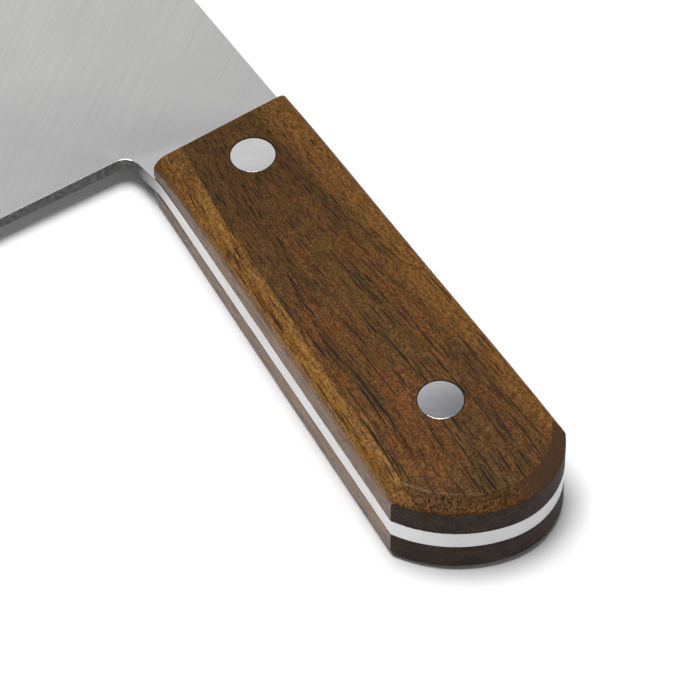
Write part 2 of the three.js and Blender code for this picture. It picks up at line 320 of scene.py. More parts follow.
def lathe(centre, profile, surface=None):
    """Points and faces of a solid turned about an upright axis. The profile is a list of
    (radius, height) from the axis to the axis. A height given as a one-item tuple is measured
    from surface(x, y)."""
    points = []
    rings = []
    for radius, height in profile:
        sides = RIVET_SIDES if radius else 1
        ring = []
        for i in range(sides):
            turn = 2 * math.pi * i / sides
            x = centre[0] + radius * math.cos(turn)
            y = centre[1] + radius * math.sin(turn)
            z = surface(x, y) + height[0] if isinstance(height, tuple) else height
            ring.append(len(points))
            points.append((x, y, z))
        rings.append(ring)
    faces = []
    for upper, lower in zip(rings, rings[1:]):
        if len(upper) == 1:
            faces += [(upper[0], lower[i - 1], lower[i]) for i in range(RIVET_SIDES)]
        elif len(lower) == 1:
            faces += [(upper[i - 1], lower[0], upper[i]) for i in range(RIVET_SIDES)]
        else:
            faces += strip_faces(upper, lower)
    return points, faces


# ---- the scales' surface -------------------------------------------------------------------


def quarter_round(inset, width, drop):
    """How far an elliptic rounding lies below the sharp edge's level, at inset from the edge."""
    reach = 1 - clamp(inset / width)
    return drop * (1 - math.sqrt(1 - reach**2))


def front_line(y):
    """The front edge's place: 0, apart from the slightly rounded corners."""
    side = min(y - edge_side(0), spine_side(0) - y)
    return FRONT_CORNER_RADIUS * (1 - math.sqrt(1 - (1 - clamp(side / FRONT_CORNER_RADIUS)) ** 2))


def crown(x, y):
    """Height of the long profile above the tang: thin at the blade, thickest over the rear
    rivet, where a short land is flat, and rounded along its edges."""
    offset = abs(x - CREST_X) - REST_LAND / 2
    share = max(offset, 0) / (CREST_X - REST_LAND / 2)
    height = CREST_HEIGHT - (CREST_HEIGHT - FRONT_HEIGHT) * share**2
    drop = EDGE_ROUND_AT_FRONT + EDGE_ROUND_GROWTH * (height - FRONT_HEIGHT)
    drop += EDGE_ROUND_FLARE * front_flare(x)
    return (
        height
        - quarter_round(y - edge_side(x), EDGE_ROUND_WIDTH, drop)
        - quarter_round(spine_side(x) - y, SPINE_ROUND, SPINE_ROUND)
        - quarter_round(x - front_line(y), *FRONT_ARRIS)
    )


def chamfer(x, y):
    """Height of the butt's chamfer above the tang."""
    place = Vector((x, y))
    from_large = place - BUTT_EDGE_CENTRE
    from_tight = place - BUTT_SPINE_CENTRE
    inset = BUTT_EDGE_RADIUS
    if SHARED_RADIUS.cross(from_large) < 0:
        if from_large.x > 0:
            inset = BUTT_EDGE_RADIUS - from_large.length
    else:
        reach = from_tight.dot(SHARED_RADIUS) + BUTT_SPINE_RADIUS
        here = (BUTT_SPINE_RADIUS**2 - from_tight.length_squared) / max(reach, 1)
        if from_tight.x > -SHARED_RADIUS.x * here / 2:
            inset = here
    slope = (CREST_HEIGHT - CHAMFER_START) / CHAMFER_INSET
    return CHAMFER_START + slope * inset - quarter_round(inset, *BUTT_ARRIS)


def scale_top(x, y):
    """Height of the upper scale's surface: the lower of profile and chamfer, with a soft arris."""
    long_profile = crown(x, y)
    cut = chamfer(x, y)
    overlap = max(CHAMFER_SOFTNESS - abs(long_profile - cut), 0)
    return TANG_HALF + min(long_profile, cut) - overlap**2 / (4 * CHAMFER_SOFTNESS)


def round_insets(width):
    """Distances from an edge that sample a quarter round evenly along its arc."""
    return [width * (1 - math.cos(math.pi / 2 * i / ROUND_STEPS)) for i in range(ROUND_STEPS)]


def scale_columns():
    """Shares of the front width, from the edge side to the spine side, close at the roundings."""
    low = round_insets(EDGE_ROUND_WIDTH)
    high = [FRONT_WIDTH - inset for inset in round_insets(SPINE_ROUND)]
    span = FRONT_WIDTH - SPINE_ROUND - EDGE_ROUND_WIDTH
    count = round(span / SPACING)
    middle = [EDGE_ROUND_WIDTH + span * i / count for i in range(count + 1)]
    return [place / FRONT_WIDTH for place in low + middle + high[::-1]]


def scale_grid():
    """Rows of plan points over a scale, from its front to its butt."""
    shares = scale_columns()
    front_x = [front_line(lerp(edge_side(0), spine_side(0), share)) for share in shares]
    seam = [butt_point(CHAMFER_REACH, share) for share in shares]
    seam_shares = [(y - edge_side(x)) / (spine_side(x) - edge_side(x)) for x, y in seam]
    length = seam[0][0]
    count = round(length / SPACING / 1.5)
    places = [inset / length for inset in round_insets(FRONT_ARRIS[0])]
    places += [FRONT_ARRIS[0] / length + i / count for i in range(count) if i / count < 0.99]
    grid = []
    for place in places:
        line = []
        for start, end, share, seam_share in zip(front_x, seam, shares, seam_shares):
            x = lerp(start, end[0], place)
            line.append((x, lerp(edge_side(x), spine_side(x), lerp(share, seam_share, place))))
        grid.append(line)
    arris = round_insets(BUTT_ARRIS[0])
    fine = [CHAMFER_INSET + CHAMFER_SOFTNESS * i / 2 for i in range(-5, 4)]
    insets = [CHAMFER_REACH, *fine[::-1]]
    steps = round((fine[0] - BUTT_ARRIS[0]) / SPACING)
    insets += [lerp(fine[0], BUTT_ARRIS[0], (i + 1) / steps) for i in range(steps)]
    insets += arris[::-1]
    for inset in insets:
        grid.append([butt_point(inset, s) for s in shares])
    for line in grid:
        line[0] = (line[0][0], edge_side(line[0][0]))
        line[-1] = (line[-1][0], spine_side(line[-1][0]))
    return grid


def scale_shape():
    """Points and faces of one undrilled scale, above the tang."""
    grid = scale_grid()
    across = len(grid[0])
    points = [(x, y, scale_top(x, y)) for line in grid for x, y in line]
    faces = []
    for i in range(len(grid) - 1):
        for j in range(across - 1):
            a = i * across + j
            faces.append((a, a + across, a + across + 1, a + 1))
    last = (len(grid) - 1) * across
    rim = list(range(0, last, across))
    rim += list(range(last, last + across - 1))
    rim += list(range(last + across - 1, across - 1, -across))
    rim += list(range(across - 1, 0, -1))
    outline = [points[i][:2] for i in rim]
    walls = [
        (0, lambda top: top - SEAM_BREAK * 2),
        (0, lambda top: SEAT + SEAM_BREAK * 3),
        (0, lambda top: SEAT + SEAM_BREAK),
        (SEAM_BREAK, lambda top: SEAT),
    ]
    above = rim
    for inset, height in walls:
        below = list(range(len(points), len(points) + len(rim)))
        level = offset_loop(outline, lambda x, inset=inset: inset)
        points += [(x, y, height(points[i][2])) for (x, y), i in zip(level, rim)]
        faces += strip_faces(above, below)
        above = below
    faces.append(tuple(above))
    return points, faces


def rivet_place(place):
    low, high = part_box(f"{place}_rivet_barrel")
    centre = (low + high) / 2 / MM - ORIGIN
    return (centre.x, centre.y), (high.x - low.x) / MM / 2


RIVET_MIDDLES = [Vector(rivet_place(place)[0]) for place in RIVET_PLACES]


def drill(piece, side):
    """Cuts the rivets' stepped holes through a scale. side is 1 above the tang and -1 below."""
    cutters = []
    for place in RIVET_PLACES:
        centre, head = rivet_place(place)
        hole = BARREL_DIAMETER / 2 + RIVET_CLEARANCE
        beyond = TANG_HALF + 2 * CREST_HEIGHT
        seat = TANG_HALF + HEAD_SEAT
        wide = head + RIVET_CLEARANCE
        points, faces = lathe(
            centre, [(0, beyond), (wide, beyond), (wide, seat), (hole, seat), (hole, 0), (0, 0)]
        )
        points = points if side > 0 else mirrored(points)
        cutter = make_piece(f"{piece.name}_{place}_cutter", points, faces, [])
        cutters.append(cutter)
        cut = piece.modifiers.new(cutter.name, "BOOLEAN")
        cut.object = cutter
        cut.operation = "DIFFERENCE"
        cut.solver = "EXACT"
    bpy.context.view_layer.update()
    drilled = bpy.data.meshes.new_from_object(piece.evaluated_get(bpy.context.evaluated_depsgraph_get()))
    piece.modifiers.clear()
    piece.data = drilled
    for cutter in cutters:
        bpy.data.objects.remove(cutter)
    finish_mesh(drilled, scale_finish)


def scale_finish(centre, normal):
    """The kind of wood surface that a face of a scale belongs to."""
    upright = abs(normal.z) < WALL_RISE
    in_hole = any((centre.xy - middle).length < HEAD_DIAMETER for middle in RIVET_MIDDLES)
    if upright and (in_hole or (centre.x > BUTT_EDGE_CENTRE.x and normal.x > BUTT_FACING)):
        return END_WALL
    if abs(normal.y) > SIDE_FACING and not in_hole:
        return LONG_SIDE
    if normal.x > CHAMFER_FACING and normal.xy.length > CHAMFER_TILT:
        return CHAMFER
    return BROAD_FACE


def make_scale(node, side, materials):
    points, faces = scale_shape()
    if side < 0:
        points = mirrored(points)
    piece = make_piece(f"{node}_wood", points, faces, materials)
    drill(piece, side)
    return piece


# ---- blade and tang ----------------------------------------------------------------------


def flat_half(y):
    return lerp(SPINE_THICKNESS, SHOULDER_THICKNESS, -y / (BLADE_WIDTH - BEVEL_WIDTH)) / 2


def plate_half(x, y):
    """Half of the plate's thickness at a place. The blade's faces run straight from the spine to
    the shoulder of the edge bevel, and run out into the flat tang under the scales."""
    shoulder = edge_line(x) + BEVEL_WIDTH
    if y < shoulder:
        half = lerp(EDGE_THICKNESS / 2, flat_half(shoulder), (y - edge_line(x)) / BEVEL_WIDTH)
    else:
        half = flat_half(y)
    return lerp(half, TANG_HALF, clamp((x - NECK_END) / (GRIND_RUNOUT - NECK_END)))


def on_tang(x):
    """0 on the blade, 1 behind the front of the scales."""
    return clamp(1 - x / TANG_BREAK_START)


def plate_outline():
    heel_x = heel_at(edge_line(-HEEL_SETBACK))
    heel_corner = (heel_x, edge_line(heel_x))
    notch_y = -FRONT_WIDTH - NECK_DROP
    notch_corner = (heel_at(notch_y), notch_y)
    neck_end = (NECK_END, edge_side(NECK_END))
    tip_edge = (TIP_X, edge_line(TIP_X))
    tip_spine = (TIP_X, 0)
    edge = []
    for i in range(1, 2 * ARC_STEPS):
        x = lerp(TIP_X, heel_x, i / (2 * ARC_STEPS))
        edge.append((x, edge_line(x)))
    flare = []
    for i in range(1, FLARE_STEPS + 1):
        x = lerp(NECK_END, FRONT_FLARE_LENGTH, i / FLARE_STEPS)
        flare.append((x, edge_side(x)))
    waist_places = [lerp(WAIST_END, WAIST_START, i / WAIST_STEPS) for i in range(WAIST_STEPS + 1)]
    waist = [(x, spine_side(x)) for x in sorted([*waist_places, GRIND_RUNOUT], reverse=True)]
    return without_repeats([
        *fillet((0, 0), tip_spine, tip_edge, TIP_SPINE_RADIUS),
        (TIP_X, tip_edge[1] + BEVEL_WIDTH),
        *fillet(tip_spine, tip_edge, edge[0], TIP_EDGE_RADIUS),
        *edge,
        *fillet(edge[-1], heel_corner, notch_corner, HEEL_RADIUS),
        (heel_at(heel_corner[1] + BEVEL_WIDTH), heel_corner[1] + BEVEL_WIDTH),
        *fillet(heel_corner, notch_corner, neck_end, NOTCH_RADIUS),
        neck_end,
        *flare,
        (GRIND_RUNOUT, edge_side(GRIND_RUNOUT)),
        *[butt_point(0, i / (2 * ARC_STEPS)) for i in range(2 * ARC_STEPS + 1)],
        *waist,
        (NECK_END, spine_side(NECK_END)),
        (0, 0),
    ])


def hole_loop(centre, radius):
    """A clockwise circle, so that the plate's metal is on its left."""
    return arc(centre, radius, 0, -2 * math.pi, 2 * ARC_STEPS)[:-1]


def nearest(points, target):
    return min(range(len(points)), key=lambda i: (Vector(points[i]) - Vector(target)).length)


def make_plate(materials):
    """The plate: its outline and its holes' walls with broken edges, the two ground faces, and
    the shoulder line of the cutting bevel. Known fault: the ground faces run on across the
    hanging hole and the rivet holes, so a skin closes each hole at both ends."""
    hang = (TIP_X + HANG_INSET, -HANG_INSET)
    loops = [plate_outline(), hole_loop(hang, HANG_DIAMETER / 2)]
    for place in RIVET_PLACES:
        loops.append(hole_loop(rivet_place(place)[0], BARREL_DIAMETER / 2 + RIVET_CLEARANCE))

    def break_width(x):
        return lerp(BREAK_WIDTH, TANG_BREAK_WIDTH, on_tang(x))

    points = []
    faces = []
    cap_plan = []
    cap_edges = []
    upper_of = []
    lower_of = []
    for loop in loops:
        inner = offset_loop(loop, break_width)
        rings = [[] for _ in range(2 * BREAK_STEPS + 2)]
        for (x, y), (inner_x, inner_y) in zip(loop, inner):
            half = plate_half(inner_x, inner_y)
            outer_half = plate_half(x, y)
            drop = min(lerp(BREAK_DROP, TANG_BREAK_DROP, on_tang(x)), MOST_BREAK_SHARE * outer_half)
            rounding = []
            for turn in range(BREAK_STEPS + 1):
                out = math.sin(math.pi / 2 * turn / BREAK_STEPS)
                down = drop * (1 - math.cos(math.pi / 2 * turn / BREAK_STEPS))
                height = lerp(half, outer_half, out) - down
                rounding.append((lerp(inner_x, x, out), lerp(inner_y, y, out), height))
            for ring, corner in zip(rings, rounding + mirrored(rounding[::-1])):
                ring.append(len(points))
                points.append(corner)
        for above, below in zip(rings, rings[1:]):
            faces += strip_faces(above, below)
        first = len(cap_plan)
        cap_plan += [Vector(point) for point in inner]
        cap_edges += [(first + i, first + (i + 1) % len(inner)) for i in range(len(inner))]
        upper_of += rings[0]
        lower_of += rings[-1]

    outline = loops[0]
    shoulder_y = edge_line(-HEEL_SETBACK) + BEVEL_WIDTH
    shoulder = [nearest(outline, (heel_at(shoulder_y), shoulder_y))]
    for i in range(1, ARC_STEPS):
        x = lerp(-HEEL_SETBACK - 2, TIP_X + 1, i / ARC_STEPS)
        shoulder.append(len(cap_plan))
        cap_plan.append(Vector((x, edge_line(x) + BEVEL_WIDTH)))
    shoulder.append(nearest(outline, (TIP_X, edge_line(TIP_X) + BEVEL_WIDTH)))
    cap_edges += list(zip(shoulder, shoulder[1:]))
    for x in (NECK_END, GRIND_RUNOUT):
        ends = [nearest(outline, (x, side(x))) for side in (spine_side, edge_side)]
        cap_edges.append(tuple(ends))
    plan, _, cap_faces, originals, _, _ = delaunay_2d_cdt(cap_plan, cap_edges, [], 5, 1e-6)
    upper = []
    lower = []
    for (x, y), original in zip(plan, originals):
        if original and original[0] < len(upper_of):
            upper.append(upper_of[original[0]])
            lower.append(lower_of[original[0]])
            continue
        for side, height in ((upper, plate_half(x, y)), (lower, -plate_half(x, y))):
            side.append(len(points))
            points.append((x, y, height))
    for face in cap_faces:
        faces.append(tuple(upper[i] for i in face))
        faces.append(tuple(lower[i] for i in reversed(face)))

    def finish(centre, normal):
        heel_start = heel_at(-BLADE_WIDTH) - HEEL_WALL_MARGIN
        at_heel = heel_start < centre.x < HEEL_CLEAN_END and centre.y < NOTCH_WALL_MARGIN - FRONT_WIDTH
        if abs(normal.z) < WALL_RISE:
            return HEEL_WALL if at_heel else EDGES
        if abs(normal.z) < FLAT_RISE:
            return EDGES
        below_shoulder = centre.y < edge_line(min(centre.x, -HEEL_SETBACK)) + BEVEL_WIDTH
        return BEVEL if below_shoulder else FACES

    return make_piece("blade_and_tang_steel", points, faces, materials, finish, PLATE_SHARP_ANGLE)


# ---- rivets ------------------------------------------------------------------------------


def head_rings(head):
    """The head's top, slightly domed, from its middle to its rounded rim."""
    rings = []
    flat = head - HEAD_RIM
    radii = [flat * i / ROUND_STEPS for i in range(ROUND_STEPS)]
    for radius in [*radii, flat - 2 * HEAD_RIM, flat]:
        rings.append((radius, (-HEAD_DOME * (radius / head) ** 2,)))
    for i in range(1, 4):
        turn = math.pi / 6 * i
        sink = HEAD_DOME + HEAD_RIM * (1 - math.cos(turn))
        rings.append((flat + HEAD_RIM * math.sin(turn), (-sink,)))
    return rings


def make_rivets(material):
    """The barrels, whose heads are on top, and the pins, whose heads are below."""
    seat = TANG_HALF + HEAD_SEAT + RIVET_CLEARANCE
    barrel_end = -TANG_HALF - HEAD_SEAT
    bore_top = seat - BARREL_WALL_ABOVE_BORE
    pin_end = BARREL_WALL_ABOVE_BORE + 3 * RIVET_CLEARANCE - TANG_HALF - HEAD_SEAT
    barrel = BARREL_DIAMETER / 2
    bore = BARREL_BORE / 2
    pin = PIN_DIAMETER / 2
    pieces = []
    for place in RIVET_PLACES:
        centre, head = rivet_place(place)
        top = head_rings(head)
        shank = [(head, seat), (barrel, seat), (barrel, barrel_end), (bore, barrel_end)]
        points, faces = lathe(centre, [*top, *shank, (bore, bore_top), (0, bore_top)], scale_top)
        name = f"{place}_rivet_barrel"
        pieces.append((name, make_piece(f"{name}_steel", points, faces, [material])))
        shank = [(head, seat), (pin, seat), (pin, pin_end), (0, pin_end)]
        points, faces = lathe(centre, [*top, *shank], scale_top)
        name = f"{place}_rivet_pin"
        pieces.append((name, make_piece(f"{name}_steel", mirrored(points), faces, [material])))
    return pieces


# ---- materials ---------------------------------------------------------------------------


class Look:
    """A material and the few node recipes that the looks below are made of."""

    def __init__(self, name):
        self.material = bpy.data.materials.new(name)
        self.material.use_nodes = True
        self.nodes = self.material.node_tree.nodes
        self.links = self.material.node_tree.links
        self.shader = self.nodes["Principled BSDF"]
        self.object_place = self.nodes.new("ShaderNodeTexCoord").outputs["Object"]

    def node(self, kind, inputs, **settings):
        made = self.nodes.new(kind)
        for key, value in settings.items():
            setattr(made, key, value)
        for key, value in inputs.items():
            self.plug(made.inputs[key], value)
        return made

    def plug(self, socket, value):
        if isinstance(value, bpy.types.NodeSocket):
            self.links.new(value, socket)
        else:
            socket.default_value = value

    def math(self, operation, *values):
        return self.node("ShaderNodeMath", dict(enumerate(values)), operation=operation).outputs[0]

    def fade(self, value, start, end, low=0.0, high=1.0):
        """A smooth step from low at start to high at end."""
        inputs = {"Value": value, "From Min": start, "From Max": end, "To Min": low, "To Max": high}
        return self.node("ShaderNodeMapRange", inputs, interpolation_type="SMOOTHSTEP").outputs[0]

    def drawn_place(self):
        """The drawing's x, y and z of the shaded point, in millimetres."""
        inputs = {"Vector": self.object_place, "Location": row(0, 0, 0), "Scale": (MM, MM, MM)}
        place = self.node("ShaderNodeMapping", inputs, vector_type="TEXTURE").outputs[0]
        return self.node("ShaderNodeSeparateXYZ", {0: place}).outputs

    def stretched(self, place, length, width, turn=0.0, shift=0.0):
        """Noise coordinates whose cells are length by width millimetres, turned in the xy plane."""
        inputs = {
            "Vector": place,
            "Location": (shift, shift, shift),
            "Rotation": (0, 0, turn),
            "Scale": (length, width, width),
        }
        return self.node("ShaderNodeMapping", inputs, vector_type="TEXTURE").outputs[0]

    def noise(self, place, detail=2.0, roughness=0.5):
        inputs = {"Vector": place, "Scale": 1.0, "Detail": detail, "Roughness": roughness}
        return self.node("ShaderNodeTexNoise", inputs).outputs["Fac"]

    def dashes(self, place):
        """Scattered cells: the distance from each cell's middle, and a number of its own."""
        made = self.node("ShaderNodeTexVoronoi", {"Vector": place, "Scale": 1.0})
        own = self.node("ShaderNodeSeparateXYZ", {0: made.outputs["Color"]}).outputs[0]
        return made.outputs["Distance"], own

    def mix(self, share, first, second, blend="MIX"):
        made = self.node("ShaderNodeMix", {}, data_type="RGBA", blend_type=blend)
        for index, value in ((0, share), (6, first), (7, second)):
            self.plug(made.inputs[index], value)
        return made.outputs[2]

    def bump(self, height, strength, distance):
        inputs = {"Height": height, "Strength": strength, "Distance": distance}
        self.plug(self.shader.inputs["Normal"], self.node("ShaderNodeBump", inputs).outputs[0])

    def set(self, **values):
        for key, value in values.items():
            self.plug(self.shader.inputs[key.replace("_", " ")], value)


def colour(red, green, blue):
    return (red, green, blue, 1.0)


# Walnut. The grain fans out towards the butt about GRAIN_AXIS_Y, and sways a little.
GRAIN_AXIS_Y = -12
GRAIN_FAN = 0.007
GRAIN_SWAY = 0.7
GRAIN_SWAY_LENGTH = 90
GRAIN_SWAY_START = 60
SAPWOOD_BORDER = -15.3
SAPWOOD_BLUR = 0.6
# Lengths and widths, in millimetres, of the noise cells that colour the wood.
DRIFT_CELL = (40, 9)
CROWD_CELL = (45, 2.6)
PATCH_CELL = (26, 4)
STREAK_CELL = (34, 1.0)
FIBRE_CELL = (3.2, 0.15)
SPECKLE_CELL = (0.62, 0.42)
DOT_CELL = (0.55, 0.42)
# Fades: start and end of the fade, value before it and value after it. The first three run along
# the handle, the next two across it, and the last from level faces to ones across the grain.
FRONT_DARKENING = (16.0, 48.0, 0.50, 0.0)
SAPWOOD_FROM_FRONT = (4.0, 26.0, 0.5, 1.0)
SAPWOOD_TO_BUTT = (94.0, 108.0, 1.0, 0.35)
PALE_SPINE_SIDE = (-8.0, -2.0, 0.0, 0.8)
# Painted shade: faces across the grain, chiefly the chamfer, darken towards the spine side, where less
# light falls on them.
SHADED_CHAMFER_END = (-22.0, -15.0, 0.0, 0.8)
ACROSS_GRAIN = (0.09, 0.25)
FIBRE_TINT = (0.66, 1.34)
SPECKLE_TINT = (0.60, 1.36)
CROWD_TINT = 0.28
FACE_GLOSS = 0.12
UPPER_SIDE_GLOSS = 0.26
LOWER_SIDE_GLOSS = 0.42
CHAMFER_GLOSS = 0.02
LOWER_BOARD_SHIFT = 260
ZONE_START_BLUR = 4.0
ZONE_END_BLUR = 5.0
# Zones crowded with open pores: start and end along the handle, place across the fanned grain,
# half width, and weight.
PORE_ZONES = (
    (0, 100, -14.9, 0.9, 0.8),
    (-4, 44, -9.8, 1.6, 1.0),
    (6, 46, 1.6, 1.7, 1.0),
    (44, 80, -2.6, 1.4, 0.8),
    (40, 84, -5.6, 1.3, 0.6),
    (56, 84, -12.4, 1.3, 1.0),
    (78, 114, 1.8, 1.8, 1.3),
    (84, 116, -1.2, 1.6, 0.9),
    (86, 116, -5.4, 1.8, 0.8),
)
# Sizes of open pore: length and width of a pore's cell, reach of the pore in its cell, the share
# of pores where the wood is plain, how much more where it is crowded, and darkness.
PORE_KINDS = (
    (15.0, 0.34, 0.27, 0.32, 0.62, 1.0),
    (32.0, 0.40, 0.28, 0.18, 0.80, 1.0),
    (7.0, 0.28, 0.27, 0.44, 0.40, 0.9),
)
HEARTWOOD = (0.086, 0.0400, 0.0100)
RED_HEARTWOOD = (0.103, 0.0395, 0.0100)
DARK_HEARTWOOD = (0.040, 0.0205, 0.0052)
SAPWOOD = (0.196, 0.092, 0.0200)
DARK_SAPWOOD = (0.132, 0.057, 0.0120)
PORE_BROWN = (0.0075, 0.0050, 0.0035)
END_GRAIN = (0.046, 0.0275, 0.0165)
DARK_END_GRAIN = (0.019, 0.0120, 0.0080)


def fanned_grain(look):
    """The place in millimetres along, across and through the grain."""
    x, y, z = look.drawn_place()
    turn = 2 * math.pi / GRAIN_SWAY_LENGTH
    phase = look.math("MULTIPLY_ADD", x, turn, -turn * GRAIN_SWAY_START)
    sway = look.math("MULTIPLY", look.math("SINE", phase), GRAIN_SWAY)
    beside = look.math("SUBTRACT", look.math("SUBTRACT", y, float(GRAIN_AXIS_Y)), sway)
    across = look.math("DIVIDE", beside, look.math("MULTIPLY_ADD", x, GRAIN_FAN, 1.0))
    straight = look.node("ShaderNodeCombineXYZ", {0: x, 1: across, 2: z}).outputs[0]
    wander = look.math("SUBTRACT", look.noise(look.stretched(straight, *DRIFT_CELL), 1.0), 0.5)
    across = look.math("ADD", wander, across)
    return look.node("ShaderNodeCombineXYZ", {0: x, 1: across, 2: z}).outputs[0], x, y, across


def pore_crowding(look, grain, x, across, zones):
    """How crowded the pores are: drifting patches all over, and the zones."""
    drifts = look.noise(look.stretched(grain, *CROWD_CELL), 2.0)
    crowding = look.fade(drifts, 0.45, 0.72, 0.0, 0.6)
    for start, end, centre, half_width, weight in zones:
        distance = look.math("ABSOLUTE", look.math("SUBTRACT", across, float(centre)))
        beside = look.fade(distance, 0.3 * half_width, 1.3 * half_width, weight, 0.0)
        begun = look.fade(x, start - ZONE_START_BLUR, start + ZONE_START_BLUR)
        over = look.fade(x, end - ZONE_END_BLUR, end + ZONE_END_BLUR, 1.0, 0.0)
        zone = look.math("MULTIPLY", look.math("MULTIPLY", beside, begun), over)
        crowding = look.math("MAXIMUM", crowding, zone)
    return crowding


def open_pores(look, grain, crowding):
    """Thin dark dashes along the grain, more of them where they are crowded."""
    darkness = 0.0
    for number, (length, width, reach, plain, crowded, weight) in enumerate(PORE_KINDS):
        place = look.stretched(grain, length, width, shift=7.0 * number)
        distance, own = look.dashes(place)
        dash = look.fade(distance, 0.8 * reach, 1.1 * reach, weight, 0.0)
        share = look.math("MULTIPLY_ADD", crowding, crowded, plain)
        present = look.math("LESS_THAN", own, share)
        darkness = look.math("MAXIMUM", look.math("MULTIPLY", dash, present), darkness)
    return darkness


def tinted(look, share, wood, darkest, lightest):
    """The wood multiplied by a grey between two numbers."""
    grey = look.mix(share, colour(darkest, darkest, darkest), colour(lightest, lightest, lightest))
    return look.mix(1.0, wood, grey, "MULTIPLY")


def walnut(name, zones, shift, gloss):
    """Oiled walnut. shift, in millimetres along the grain, makes each scale its own board."""
    look = Look(name)
    grain, x, y, across = fanned_grain(look)
    moved = look.node("ShaderNodeVectorMath", {0: grain, 1: (shift, 0, 0)}, operation="ADD").outputs[0]

    patches = look.noise(look.stretched(moved, *PATCH_CELL), 3.0)
    streaks = look.noise(look.stretched(moved, *STREAK_CELL), 3.0, 0.62)
    fibres = look.noise(look.stretched(moved, *FIBRE_CELL), 3.0, 0.7)
    speckle = look.noise(look.stretched(moved, *SPECKLE_CELL, shift=3.0), 2.0, 0.8)

    heart = look.mix(look.fade(patches, 0.42, 0.62), colour(*HEARTWOOD), colour(*RED_HEARTWOOD))
    heart = look.mix(look.fade(streaks, 0.46, 0.62, 0.0, 0.5), heart, colour(*DARK_HEARTWOOD))
    heart = look.mix(look.fade(x, *FRONT_DARKENING), heart, colour(*DARK_HEARTWOOD))
    sap = look.mix(look.fade(streaks, 0.38, 0.64), colour(*SAPWOOD), colour(*DARK_SAPWOOD))
    border = look.math("MULTIPLY_ADD", look.math("SUBTRACT", streaks, 0.5), 4.0, across)
    sapwood = look.fade(border, SAPWOOD_BORDER + SAPWOOD_BLUR, SAPWOOD_BORDER - SAPWOOD_BLUR)
    sapwood = look.math("MULTIPLY", sapwood, look.fade(x, *SAPWOOD_TO_BUTT))
    sapwood = look.math("MULTIPLY", sapwood, look.fade(x, *SAPWOOD_FROM_FRONT))
    wood = look.mix(sapwood, heart, sap)
    pale_side = look.fade(look.math("MULTIPLY_ADD", patches, 6.0, y), *PALE_SPINE_SIDE)
    wood = look.mix(pale_side, wood, colour(*DARK_SAPWOOD))
    wood = tinted(look, look.fade(fibres, 0.34, 0.66), wood, *FIBRE_TINT)
    wood = tinted(look, look.fade(speckle, 0.40, 0.60), wood, *SPECKLE_TINT)

    crowding = pore_crowding(look, moved, x, across, zones)
    wood = look.mix(look.math("MULTIPLY", crowding, CROWD_TINT), wood, colour(*DARK_HEARTWOOD))
    pores = open_pores(look, moved, crowding)

    facing = look.node("ShaderNodeNewGeometry", {}).outputs["Normal"]
    facing = look.node("ShaderNodeSeparateXYZ", {0: facing}).outputs[0]
    across_grain = look.fade(facing, *ACROSS_GRAIN)
    dots = look.noise(look.stretched(moved, *DOT_CELL, shift=11.0), 2.0, 0.7)
    long_share = look.math("SUBTRACT", 1.0, look.math("MULTIPLY", across_grain, 0.7))
    pores = look.math("MULTIPLY", pores, long_share)
    dotted = look.fade(dots, 0.50, 0.66, 0.0, 0.8)
    pores = look.math("MAXIMUM", pores, look.math("MULTIPLY", dotted, across_grain))
    wood = look.mix(pores, wood, colour(*PORE_BROWN))
    # Painted shade: the chamfer darkens towards the spine side, mixed in the end grain's colour.
    chamfer_shade = look.math("MULTIPLY", look.fade(y, *SHADED_CHAMFER_END), across_grain)
    wood = look.mix(chamfer_shade, wood, colour(*END_GRAIN))

    look.set(Base_Color=wood, Specular_IOR_Level=gloss)
    rough = look.math("MULTIPLY_ADD", pores, 0.3, look.fade(fibres, 0.3, 0.7, 0.30, 0.42))
    look.set(Roughness=rough)
    depth = look.math("MULTIPLY_ADD", pores, -1.0, look.math("MULTIPLY", fibres, 0.20))
    look.bump(depth, 0.2, 0.00008)
    return look.material


def scale_looks(name, end_grain, zones, shift, side_gloss):
    """The looks of a scale's broad face, end walls, long sides and chamfer."""
    return [
        walnut(name, zones, shift, FACE_GLOSS),
        end_grain,
        walnut(f"{name}_side", zones, shift, side_gloss),
        walnut(f"{name}_chamfer", zones, shift, CHAMFER_GLOSS),
    ]


def end_grain_walnut(name):
    """The butt's upright walls: dark, almost matt end grain, with fine dots and faint rings."""
    look = Look(name)
    x, y, z = look.drawn_place()
    place = look.node("ShaderNodeCombineXYZ", {0: x, 1: y, 2: z}).outputs[0]
    dots = look.noise(look.stretched(place, 0.4, 0.4), 3.0, 0.65)
    blots = look.noise(look.stretched(place, 5.0, 2.5), 3.0)
    wood = look.mix(look.fade(dots, 0.36, 0.64), colour(*END_GRAIN), colour(*DARK_END_GRAIN))
    wood = tinted(look, look.fade(blots, 0.35, 0.65), wood, 0.8, 1.25)
    look.set(Base_Color=wood, Roughness=0.6, Specular_IOR_Level=0.10)
    look.bump(dots, 0.3, 0.00008)
    return look.material


# Steel. Two colours are the ends of a soft mottle.
SATIN = (colour(0.715, 0.714, 0.712), colour(0.740, 0.741, 0.735))
SATIN_SCRATCH = colour(0.60, 0.60, 0.60)
WHETTED = colour(0.72, 0.72, 0.73)
POLISHED = (colour(0.60, 0.595, 0.59), colour(0.645, 0.648, 0.652))
# Painted shade for the tang's edges at the butt, where they reflect the shadowed floor.
BUTT_EDGE_SHADE = colour(0.515, 0.51, 0.51)
CUT_WALL = (colour(0.105, 0.105, 0.102), colour(0.035, 0.035, 0.034))
CUT_WALL_LINE = colour(0.17, 0.17, 0.17)
CLEAN_WALL = colour(0.60, 0.595, 0.59)
RIVET_HEAD = (colour(0.75, 0.753, 0.765), colour(0.78, 0.783, 0.79))
# Turns of the grinding lines from the spine's direction.
BLADE_GRIND = math.radians(127)
BEVEL_GRIND = math.radians(84)
RIVET_GRIND = math.radians(35)
BUTT_SHADE_START = 12.0


